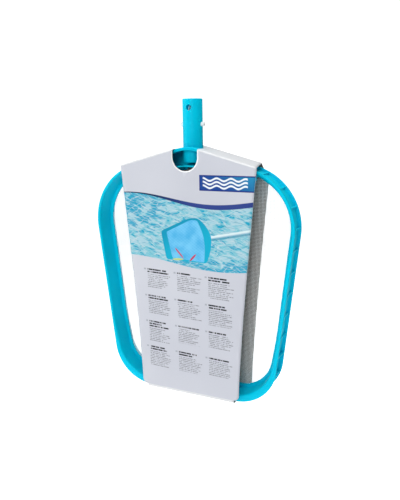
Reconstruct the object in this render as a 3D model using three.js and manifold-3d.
// A leaf skimmer net head for a telescopic pool pole, hanging in its folded retail card.
// Millimetres, +Z up. The origin is the centre of the handle's open end; the head hangs below it.
// The front, where leaves go in, faces -Y. The part is symmetric left to right.
import * as THREE from "three";
import Module from "manifold-3d";
import { mergeVertices } from "three/addons/utils/BufferGeometryUtils.js";

const wasm = await Module();
wasm.setup();

// ---- driving dimensions ----
const GAP = 0.3; // between solids that touch on the real object

// handle tube and the holes in it
const TUBE_R = 13;
const BORE_R = 11;
const TUBE_LENGTH = 80.5;
const BORE_DEPTH = 78;
const HANG_HOLE = { r: 3.75, z: -11 };
const BUTTON_Z = -32;
const BUTTON_R = 2.8;
const BUTTON_HOLE_R = 3.15;
const BUTTON_STANDS_OUT = 4.2;

// outline of the hoop, as the corners that its round stretches are drawn inside
const APEX = { x: 0, z: -57.6, r: 50 };
const SHOULDER = { x: 150, z: -107, r: 81 };
const CORNER = { x: 117.4, z: -402.8, r: 58.7 };

// depth of the hoop: front rim, back flange and the flange that holds the net
const FRONT_Y = -19.4;
const BACK_Y = 15.4;
const RIM_THICK = 2.4;
const FLANGE_THICK = 2.2;
const WALL_THICK = 2;
const NET_FLANGE_Y = [3, 6.4];
const SIDE = { rim: 3.7, ramp: 6.4, lip: 11.4 };
const BOTTOM = { rim: 10.4, ramp: 12, lip: 16 };
const WIDENS_FROM_Z = -300; // the rim widens from here down to the bottom bar

// top bar: a box open to the front, deepest in the middle
const TOP_END_X = 86;
const TOP_HEIGHT = { middle: 25.4, end: 13 };
const TOP_RIM = 4;
const TOP_LIP = 4.4;

// ribs across the trough on the outside of the hoop
const RIB_PITCH = 29;
const RIB_THICK = 1.6;
const RIB_SETBACK = 0.6;

// net and spring clip
const NET_THICK = 0.8;
const NET_Y = 4.3;
const NET_CLEAR = 0.6;
const CLIP_STRIP = { thick: 1.5, wide: 8 };
const CLIP_TOP_Z = -3.2;
const CLIP_BOW_R = 1.9;
const CLIP_SPREAD_X = 8.6;

// folded retail card
const CARD_THICK = 0.8;
const CARD_FRONT_Y = -26.4;
const CARD_BACK_Y = 21.6;
const CARD_BOTTOM_Z = -404.2;
const CARD_FOLD_R = { top: 2.5, bottom: 6 };
const CARD_HALF = { top: 96, bottom: 73.5, topZ: -86, bottomZ: -396, power: 1.3 };
const CARD_CORNER = 7; // the bottom fold is this much narrower on each side
const CARD_RIDGE = { z: -57.6, slope: 0.272, r: 30 }; // its gable is flatter than the hoop's
const CARD_SHOULDER_Z = -102; // the panels narrow from here up to the gable
const BACK_PANEL_EXTRA = 2.6;
const BACK_PANEL_TOP_HALF = 87.5;
const CUTOUT = { half: 17.6, bottomZ: -90.2 };

// ---- solids ----
const toSolid = (geometry) => {
  const g = geometry.index ? geometry.clone() : geometry;
  g.deleteAttribute("normal");
  g.deleteAttribute("uv");
  const merged = mergeVertices(g, 1e-4);
  const vertProperties = new Float32Array(merged.attributes.position.array);
  const triVerts = new Uint32Array(merged.index.array);
  return new wasm.Manifold(new wasm.Mesh({ numProp: 3, vertProperties, triVerts }));
};

const toGeometry = (solid) => {
  const mesh = solid.getMesh();
  const g = new THREE.BufferGeometry();
  g.setAttribute("position", new THREE.BufferAttribute(new Float32Array(mesh.vertProperties), 3));
  g.setIndex(new THREE.BufferAttribute(new Uint32Array(mesh.triVerts), 1));
  g.computeVertexNormals();
  return g;
};

const box = (x0, x1, y0, y1, z0, z1) => {
  const g = new THREE.BoxGeometry(x1 - x0, y1 - y0, z1 - z0);
  return g.translate((x0 + x1) / 2, (y0 + y1) / 2, (z0 + z1) / 2);
};

// A cylinder from z0 up to z1 on the Z axis.
const post = (r, z0, z1, sides = 48) => {
  const g = new THREE.CylinderGeometry(r, r, z1 - z0, sides);
  return g.rotateX(Math.PI / 2).translate(0, 0, (z0 + z1) / 2);
};

// Triangles that fill a ring, each wound the same way as the ring itself.
const capTriangles = (ring) => {
  const flat = ring.map((p) => new THREE.Vector2(p.u, p.v));
  const turn = Math.sign(THREE.ShapeUtils.area(flat));
  return THREE.ShapeUtils.triangulateShape(flat, []).map(([a, b, c]) =>
    Math.sign(THREE.ShapeUtils.area([flat[a], flat[b], flat[c]])) === turn ? [a, b, c] : [a, c, b],
  );
};

// Joins rings of points into one closed body. Every ring has the same number of points.
const loft = (rings) => {
  const n = rings[0].length;
  const position = rings.flat().flatMap((p) => [p.x, p.y, p.z]);
  const index = [];
  for (let i = 0; i + 1 < rings.length; i++) {
    for (let k = 0; k < n; k++) {
      const a = i * n + k;
      const b = i * n + ((k + 1) % n);
      index.push(a, b, a + n, b, b + n, a + n);
    }
  }
  const last = (rings.length - 1) * n;
  for (const [a, b, c] of capTriangles(rings[0])) index.push(a, c, b);
  for (const [a, b, c] of capTriangles(rings.at(-1))) index.push(last + a, last + b, last + c);
  const g = new THREE.BufferGeometry();
  g.setAttribute("position", new THREE.Float32BufferAttribute(position, 3));
  g.setIndex(index);
  return g;
};

// Turns a closed body the right way out if its faces point inwards.
const facingOut = (geometry) => {
  const p = geometry.attributes.position;
  const index = geometry.index.array;
  const v = [0, 1, 2].map(() => new THREE.Vector3());
  let volume = 0;
  for (let i = 0; i < index.length; i += 3) {
    v.forEach((q, k) => q.fromBufferAttribute(p, index[i + k]));
    volume += v[0].dot(v[1].clone().cross(v[2]));
  }
  if (volume < 0) {
    for (let i = 0; i < index.length; i += 3) [index[i], index[i + 1]] = [index[i + 1], index[i]];
  }
  return geometry;
};

const material = (color, roughness) => new THREE.MeshStandardMaterial({ color, roughness, metalness: 0 });
const TURQUOISE = material(0x02b3d6, 0.34);
const NATURAL = material(0xf0f2ef, 0.4);
const CARD = material(0xd2d7dc, 0.7);
const NETTING = material(0xf4f6f6, 0.8);

const part = new THREE.Group();
const add = (name, geometry, mat) => {
  const mesh = new THREE.Mesh(geometry, mat);
  mesh.name = name;
  part.add(mesh);
  return mesh;
};

// ---- the hoop's outline: right half, from the apex round to the middle of the bottom ----
const fillet = (before, at, after, r, steps) => {
  const p = new THREE.Vector2(at.x, at.z);
  const d0 = new THREE.Vector2(before.x, before.z).sub(p).normalize();
  const d1 = new THREE.Vector2(after.x, after.z).sub(p).normalize();
  const half = Math.acos(d0.dot(d1)) / 2;
  const centre = d0.clone().add(d1).normalize().multiplyScalar(r / Math.sin(half)).add(p);
  const from = d0.clone().multiplyScalar(r / Math.tan(half)).add(p).sub(centre);
  const turn = Math.PI - 2 * half;
  const sign = Math.sign(from.cross(d1.clone().multiplyScalar(r / Math.tan(half)).add(p).sub(centre)));
  const points = [];
  for (let i = 0; i <= steps; i++) {
    points.push(from.clone().rotateAround(new THREE.Vector2(), (sign * turn * i) / steps).add(centre));
  }
  return points;
};

const halfOutline = () => {
  const mirrored = { x: -SHOULDER.x, z: SHOULDER.z };
  const foot = { x: 0, z: CORNER.z };
  const top = fillet(mirrored, APEX, SHOULDER, APEX.r, 12).slice(6);
  const shoulder = fillet(APEX, SHOULDER, CORNER, SHOULDER.r, 18);
  const corner = fillet(SHOULDER, CORNER, foot, CORNER.r, 14);
  return [...top, ...shoulder, ...corner, new THREE.Vector2(0, CORNER.z)];
};

// Evenly spaced stations along the outline, each with its point and its outward normal.
const stations = (from, to, step) => {
  const line = halfOutline();
  const along = [0];
  for (let i = 1; i < line.length; i++) along.push(along[i - 1] + line[i].distanceTo(line[i - 1]));
  const at = (s) => {
    let i = 1;
    while (i < line.length - 1 && along[i] < s) i++;
    const t = (s - along[i - 1]) / (along[i] - along[i - 1]);
    return line[i - 1].clone().lerp(line[i], t);
  };
  const end = Math.min(to ?? Infinity, along.at(-1));
  const n = Math.max(1, Math.round((end - from) / step));
  const found = [];
  for (let i = 0; i <= n; i++) {
    const s = from + ((end - from) * i) / n;
    const ahead = at(Math.min(s + 1, along.at(-1)));
    const back = at(Math.max(s - 1, 0));
    const t = ahead.sub(back);
    if (s < 1e-6 || s > along.at(-1) - 1e-6) t.y = 0;
    t.normalize();
    found.push({ s, p: at(s), n: new THREE.Vector2(-t.y, t.x) });
  }
  return found;
};

// How far along the half outline a given x is first reached.
const alongAtX = (x) => stations(0, 200, 0.5).find((q) => q.p.x >= x).s;

const blend = (a, b, t) => a + (b - a) * t;
const smooth = (t) => {
  const c = Math.min(1, Math.max(0, t));
  return c * c * (3 - 2 * c);
};

const place = (station, inset, y, side) => ({
  x: side * (station.p.x - station.n.x * inset),
  y,
  z: station.p.y - station.n.y * inset,
  u: -inset,
  v: y,
});

// Side section: rim at the front, wall, flange at the back, and the inner flange that holds the net.
const sideWidths = (station) => {
  const t = smooth((WIDENS_FROM_Z - station.p.y) / (WIDENS_FROM_Z - CORNER.z));
  return {
    rim: blend(SIDE.rim, BOTTOM.rim, t),
    ramp: blend(SIDE.ramp, BOTTOM.ramp, t),
    lip: blend(SIDE.lip, BOTTOM.lip, t),
  };
};

const sideSection = (station, side) => {
  const { rim, ramp, lip } = sideWidths(station);
  const [flangeFront, flangeBack] = NET_FLANGE_Y;
  return [
    [0, FRONT_Y],
    [0, FRONT_Y + RIM_THICK],
    [rim - WALL_THICK, FRONT_Y + RIM_THICK],
    [ramp - WALL_THICK, BACK_Y - FLANGE_THICK],
    [0, BACK_Y - FLANGE_THICK],
    [0, BACK_Y],
    [ramp, BACK_Y],
    [ramp, flangeBack],
    [lip, flangeBack],
    [lip, flangeFront],
    [ramp, flangeFront],
    [rim, FRONT_Y],
  ].map(([inset, y]) => place(station, inset, y, side));
};

// A rib fills the trough from the rim to the back flange.
const ribAt = (station, side) => {
  const { rim, ramp } = sideWidths(station);
  const along = new THREE.Vector2(station.n.y, -station.n.x).multiplyScalar(RIB_THICK / 2);
  const ring = (sign) => {
    const moved = { p: station.p.clone().addScaledVector(along, sign), n: station.n };
    return [
      [RIB_SETBACK, FRONT_Y + RIM_THICK / 2],
      [rim - WALL_THICK / 2, FRONT_Y + RIM_THICK / 2],
      [ramp - WALL_THICK / 2, BACK_Y - FLANGE_THICK / 2],
      [RIB_SETBACK, BACK_Y - FLANGE_THICK / 2],
    ].map(([inset, y]) => place(moved, inset, y, side));
  };
  return facingOut(loft([ring(-1), ring(1)]));
};

const S_TOP_END = alongAtX(TOP_END_X);
const WHOLE = stations(0, undefined, 2);
const S_BOTTOM = WHOLE.find((q) => q.p.x > TOP_END_X && q.p.y < CORNER.z + CORNER.r * 0.55).s;
const S_END = WHOLE.at(-1).s;

const hoopStretch = (from, to, side, step) => {
  const found = stations(from, to, step);
  return facingOut(loft(found.map((q) => sideSection(q, side))));
};

const ribStations = (from, to) => {
  const found = [];
  for (let s = S_TOP_END + RIB_PITCH / 2; s < S_END - RIB_PITCH / 3; s += RIB_PITCH) {
    if (s > from + RIB_THICK && s < to - RIB_THICK) found.push(stations(s, s + 1, 1)[0]);
  }
  return found;
};

// A limb starts on the flat end of the top bar, so its first slanting section is cut back to that.
const limb = (side) => {
  let solid = toSolid(hoopStretch(S_TOP_END - BOTTOM.lip, S_BOTTOM, side, 7));
  for (const q of ribStations(S_TOP_END, S_BOTTOM)) solid = solid.add(toSolid(ribAt(q, side)));
  const behind = [0, side * (TOP_END_X + GAP)].sort((a, b) => a - b);
  const barSpace = box(behind[0], behind[1], FRONT_Y - 1, BACK_Y + 1, 2 * SHOULDER.z, 0);
  return toGeometry(solid.subtract(toSolid(barSpace)));
};

const bottomBar = () => {
  const right = stations(S_BOTTOM + GAP, undefined, 7).map((q) => sideSection(q, 1));
  const left = stations(S_BOTTOM + GAP, undefined, 7).map((q) => sideSection(q, -1));
  let solid = toSolid(facingOut(loft([...right.slice(0, -1), ...left.reverse()])));
  for (const q of ribStations(S_BOTTOM, S_END)) {
    for (const side of [-1, 1]) solid = solid.add(toSolid(ribAt(q, side)));
  }
  return toGeometry(solid);
};

// ---- top bar: a channel open to the front, closed at both ends, that the handle runs through ----
const topHeight = (x) => blend(TOP_HEIGHT.middle, TOP_HEIGHT.end, smooth(Math.abs(x) / TOP_END_X));

const topBar = () => {
  const right = stations(0, S_TOP_END - GAP, 7);
  const section = (q, side) => {
    const h = topHeight(q.p.x);
    const [flangeFront, flangeBack] = NET_FLANGE_Y;
    return [
      [0, FRONT_Y],
      [0, BACK_Y],
      [h, BACK_Y],
      [h, flangeBack],
      [h + TOP_LIP, flangeBack],
      [h + TOP_LIP, flangeFront],
      [h, flangeFront],
      [h, FRONT_Y],
      [h - WALL_THICK, FRONT_Y],
      [h - WALL_THICK, BACK_Y - FLANGE_THICK],
      [WALL_THICK, BACK_Y - FLANGE_THICK],
      [WALL_THICK, FRONT_Y + RIM_THICK],
      [TOP_RIM, FRONT_Y + RIM_THICK],
      [TOP_RIM, FRONT_Y],
    ].map(([inset, y]) => ({ ...place({ p: q.p, n: new THREE.Vector2(0, 1) }, inset, y, side) }));
  };
  const left = right.slice(1).reverse().map((q) => section(q, -1));
  let solid = toSolid(facingOut(loft([...left, ...right.map((q) => section(q, 1))])));
  const last = right.at(-1);
  const h = topHeight(last.p.x);
  for (const side of [-1, 1]) {
    const xs = [side * (last.p.x - WALL_THICK), side * last.p.x].sort((a, b) => a - b);
    const plate = box(xs[0], xs[1], FRONT_Y + 1, BACK_Y - 1, last.p.y - h + 0.6, last.p.y - 0.6);
    solid = solid.add(toSolid(plate));
  }
  const passage = post(TUBE_R + GAP, -TUBE_LENGTH - GAP, 0);
  return toGeometry(solid.subtract(toSolid(passage)));
};

// ---- handle tube ----
const handleTube = () => {
  const profile = [
    [BORE_R, 0],
    [BORE_R, -BORE_DEPTH],
    [0, -BORE_DEPTH],
    [0, -TUBE_LENGTH],
    [TUBE_R, -TUBE_LENGTH],
    [TUBE_R, -0.6],
    [TUBE_R - 0.6, 0],
    [BORE_R, 0],
  ].map(([r, z]) => new THREE.Vector2(r, z));
  const lathe = facingOut(toMergedLathe(profile, 48));
  const hang = new THREE.CylinderGeometry(HANG_HOLE.r, HANG_HOLE.r, 4 * TUBE_R, 24);
  const sideHole = new THREE.CylinderGeometry(BUTTON_HOLE_R, BUTTON_HOLE_R, 4 * TUBE_R, 24);
  return toGeometry(
    toSolid(lathe)
      .subtract(toSolid(hang.translate(0, 0, HANG_HOLE.z)))
      .subtract(toSolid(sideHole.rotateZ(Math.PI / 2).translate(0, 0, BUTTON_Z))),
  );
};

const toMergedLathe = (profile, sides) => {
  const g = new THREE.LatheGeometry(profile, sides).rotateX(Math.PI / 2);
  g.deleteAttribute("normal");
  g.deleteAttribute("uv");
  return mergeVertices(g, 1e-4);
};

// ---- spring clip: a bow near the open end and two legs that spread down to the buttons ----
const clipBow = () => {
  const legEnd = new THREE.Vector3(CLIP_SPREAD_X, 0, BUTTON_Z + BUTTON_R + 0.8);
  const bowBase = CLIP_TOP_Z - CLIP_BOW_R - CLIP_STRIP.thick / 2;
  const path = [new THREE.Vector3(-legEnd.x, 0, legEnd.z)];
  for (let i = 0; i <= 10; i++) {
    const a = Math.PI - (Math.PI * i) / 10;
    path.push(new THREE.Vector3(CLIP_BOW_R * Math.cos(a), 0, bowBase + CLIP_BOW_R * Math.sin(a)));
  }
  path.push(legEnd);
  const w = CLIP_STRIP.wide / 2;
  const rings = path.map((p, i) => {
    const ahead = path[Math.min(i + 1, path.length - 1)];
    const back = path[Math.max(i - 1, 0)];
    const t = ahead.clone().sub(back).normalize();
    const n = new THREE.Vector3(-t.z, 0, t.x).multiplyScalar(CLIP_STRIP.thick / 2);
    return [
      [1, -w],
      [1, w],
      [-1, w],
      [-1, -w],
    ].map(([side, y]) => ({ x: p.x + side * n.x, y, z: p.z + side * n.z, u: side, v: y }));
  });
  return facingOut(loft(rings));
};

// A button: a domed stud through the handle's side on a block that closes the leg's lower end.
const snapButton = (side) => {
  const tip = TUBE_R + BUTTON_STANDS_OUT;
  const inner = CLIP_SPREAD_X - CLIP_STRIP.thick / 2;
  const dome = 1.4;
  const profile = [
    [0, inner],
    [BUTTON_R, inner],
    [BUTTON_R, tip - dome],
    [BUTTON_R * 0.86, tip - dome * 0.45],
    [BUTTON_R * 0.5, tip - dome * 0.1],
    [0, tip],
  ].map(([r, x]) => new THREE.Vector2(r, x));
  const stud = facingOut(toMergedLathe(profile, 24)).rotateY((side * Math.PI) / 2);
  stud.translate(0, 0, BUTTON_Z);
  const pad = CLIP_STRIP.thick;
  const xs = [side * inner, side * (inner + pad)].sort((a, b) => a - b);
  const w = CLIP_STRIP.wide / 2;
  const block = box(xs[0], xs[1], -w, w, BUTTON_Z - BUTTON_R - 0.6, BUTTON_Z + BUTTON_R + 0.4);
  return toGeometry(toSolid(facingOut(stud)).add(toSolid(block)));
};

// ---- net: a thin sheet that fills the opening between the net flanges ----
const netEdge = () => {
  const underBar = stations(0, S_TOP_END, 7).map((q) => {
    const drop = topHeight(q.p.x) + TOP_LIP + NET_CLEAR;
    return new THREE.Vector2(q.p.x, q.p.y - drop);
  });
  const inLimb = stations(S_TOP_END, undefined, 7)
    .map((q) => q.p.clone().addScaledVector(q.n, -sideWidths(q).lip - NET_CLEAR))
    .filter((p) => p.x > TOP_END_X + NET_CLEAR || p.y < CORNER.z + CORNER.r);
  return [...underBar, ...inLimb];
};

const net = () => {
  const right = netEdge();
  const left = right.slice(1, -1).reverse().map((p) => new THREE.Vector2(-p.x, p.y));
  const shape = new THREE.Shape([...right, ...left]);
  const g = new THREE.ExtrudeGeometry(shape, { depth: NET_THICK, bevelEnabled: false });
  return toGeometry(toSolid(g.rotateX(Math.PI / 2).translate(0, NET_Y + NET_THICK, 0)));
};

// ---- retail card: one sheet folded round the head, as its front, back, top and bottom ----
const cardHalf = (z) => {
  const t = (z - CARD_HALF.bottomZ) / (CARD_HALF.topZ - CARD_HALF.bottomZ);
  return blend(CARD_HALF.bottom, CARD_HALF.top, Math.pow(Math.min(1, Math.max(0, t)), CARD_HALF.power));
};

const backPanelHalf = (z) => cardHalf(z) + BACK_PANEL_EXTRA;

// Height of the card's top: two straight slopes with a round ridge between them.
const cardTopZ = (x) => {
  const { z, slope, r } = CARD_RIDGE;
  const flank = Math.hypot(1, slope);
  if (Math.abs(x) < (r * slope) / flank) return z - r * flank + Math.sqrt(r * r - x * x);
  return z - Math.abs(x) * slope;
};

const cardPanel = (y0, half, topX, cutout) => {
  const low = CARD_BOTTOM_Z + CARD_FOLD_R.bottom + GAP;
  const side = [new THREE.Vector2(half(low) - CARD_CORNER, low)];
  for (let i = 0; i <= 12; i++) {
    const z = blend(low + CARD_CORNER, CARD_SHOULDER_Z, i / 12);
    side.push(new THREE.Vector2(half(z), z));
  }
  const lift = (x) => cardTopZ(x) - CARD_FOLD_R.top - GAP;
  side.push(new THREE.Vector2(topX, lift(topX)));
  const top = cutout ? [new THREE.Vector2(CUTOUT.half, lift(CUTOUT.half))] : [new THREE.Vector2(0, lift(0))];
  if (cutout) {
    const centre = CUTOUT.bottomZ + CUTOUT.half;
    for (let i = 0; i <= 8; i++) {
      const a = ((Math.PI / 2) * i) / 8;
      const x = CUTOUT.half * Math.cos(a);
      top.push(new THREE.Vector2(x, centre - CUTOUT.half * Math.sin(a)));
    }
    top[top.length - 1].x = 0;
  }
  const rightSide = [...side, ...top];
  const leftSide = rightSide.filter((p) => p.x > 1e-6).map((p) => new THREE.Vector2(-p.x, p.y)).reverse();
  const shape = new THREE.Shape([...rightSide, ...leftSide]);
  const g = new THREE.ExtrudeGeometry(shape, { depth: CARD_THICK, bevelEnabled: false });
  return toGeometry(toSolid(g.rotateX(Math.PI / 2).translate(0, y0 + CARD_THICK, 0)));
};

// A folded strip: a rounded U in the YZ plane, drawn across the card's width at each x.
// At the back the strip is `backShare` times as wide as at the front.
const foldRings = (xs, baseZ, up, r, backShare) =>
  xs.map((x) => {
    const outer = [];
    const inner = [];
    for (let i = 0; i <= 5; i++) {
      const a = ((Math.PI / 2) * i) / 5;
      const c = Math.cos(a);
      const s = Math.sin(a);
      const y = r * (1 - c);
      const z = r * s - r;
      outer.push([CARD_FRONT_Y + y, z]);
      inner.push([CARD_FRONT_Y + r - (r - CARD_THICK) * c, z - CARD_THICK * s]);
    }
    const middle = CARD_FRONT_Y + CARD_BACK_Y + CARD_THICK;
    const flip = ([y, z]) => [middle - y, z];
    const loop = [...outer, ...[...outer].reverse().map(flip)];
    const back = [...inner, ...[...inner].reverse().map(flip)].reverse();
    return [...loop, ...back].map(([y, z]) => {
      const share = (y - CARD_FRONT_Y) / (CARD_BACK_Y - CARD_FRONT_Y);
      const across = x * blend(1, backShare, share);
      return { x: across, y, z: baseZ(across) + up * z, u: y, v: z };
    });
  });

const cardTopFold = () => {
  const half = cardHalf(CARD_HALF.topZ);
  const xs = [];
  for (let i = -12; i <= 12; i++) xs.push((half * i) / 12);
  const rings = foldRings(xs, cardTopZ, 1, CARD_FOLD_R.top, BACK_PANEL_TOP_HALF / half);
  const strip = toSolid(facingOut(loft(rings)));
  const passage = post(TUBE_R + 1, -120, 0);
  const notch = box(-CUTOUT.half, CUTOUT.half, CARD_FRONT_Y - 1, 0, -120, 0);
  return toGeometry(strip.subtract(toSolid(passage)).subtract(toSolid(notch)));
};

const cardBottomFold = () => {
  const half = CARD_HALF.bottom - CARD_CORNER;
  const backShare = 1 + BACK_PANEL_EXTRA / half;
  const rings = foldRings([-half, 0, half], () => CARD_BOTTOM_Z, -1, CARD_FOLD_R.bottom, backShare);
  return toGeometry(toSolid(facingOut(loft(rings))));
};

add("handle_tube", handleTube(), TURQUOISE);
add("frame_top_bar", topBar(), TURQUOISE);
add("frame_left_limb", limb(-1), TURQUOISE);
add("frame_right_limb", limb(1), TURQUOISE);
add("frame_bottom_bar", bottomBar(), TURQUOISE);
add("net", net(), NETTING);
add("clip_bow", clipBow(), NATURAL);
add("snap_button_left", snapButton(-1), NATURAL);
add("snap_button_right", snapButton(1), NATURAL);
add("card_front_panel", cardPanel(CARD_FRONT_Y, cardHalf, CARD_HALF.top, true), CARD);
add("card_back_panel", cardPanel(CARD_BACK_Y, backPanelHalf, BACK_PANEL_TOP_HALF, false), CARD);
add("card_top_fold", cardTopFold(), CARD);
add("card_bottom_fold", cardBottomFold(), CARD);

export default part;
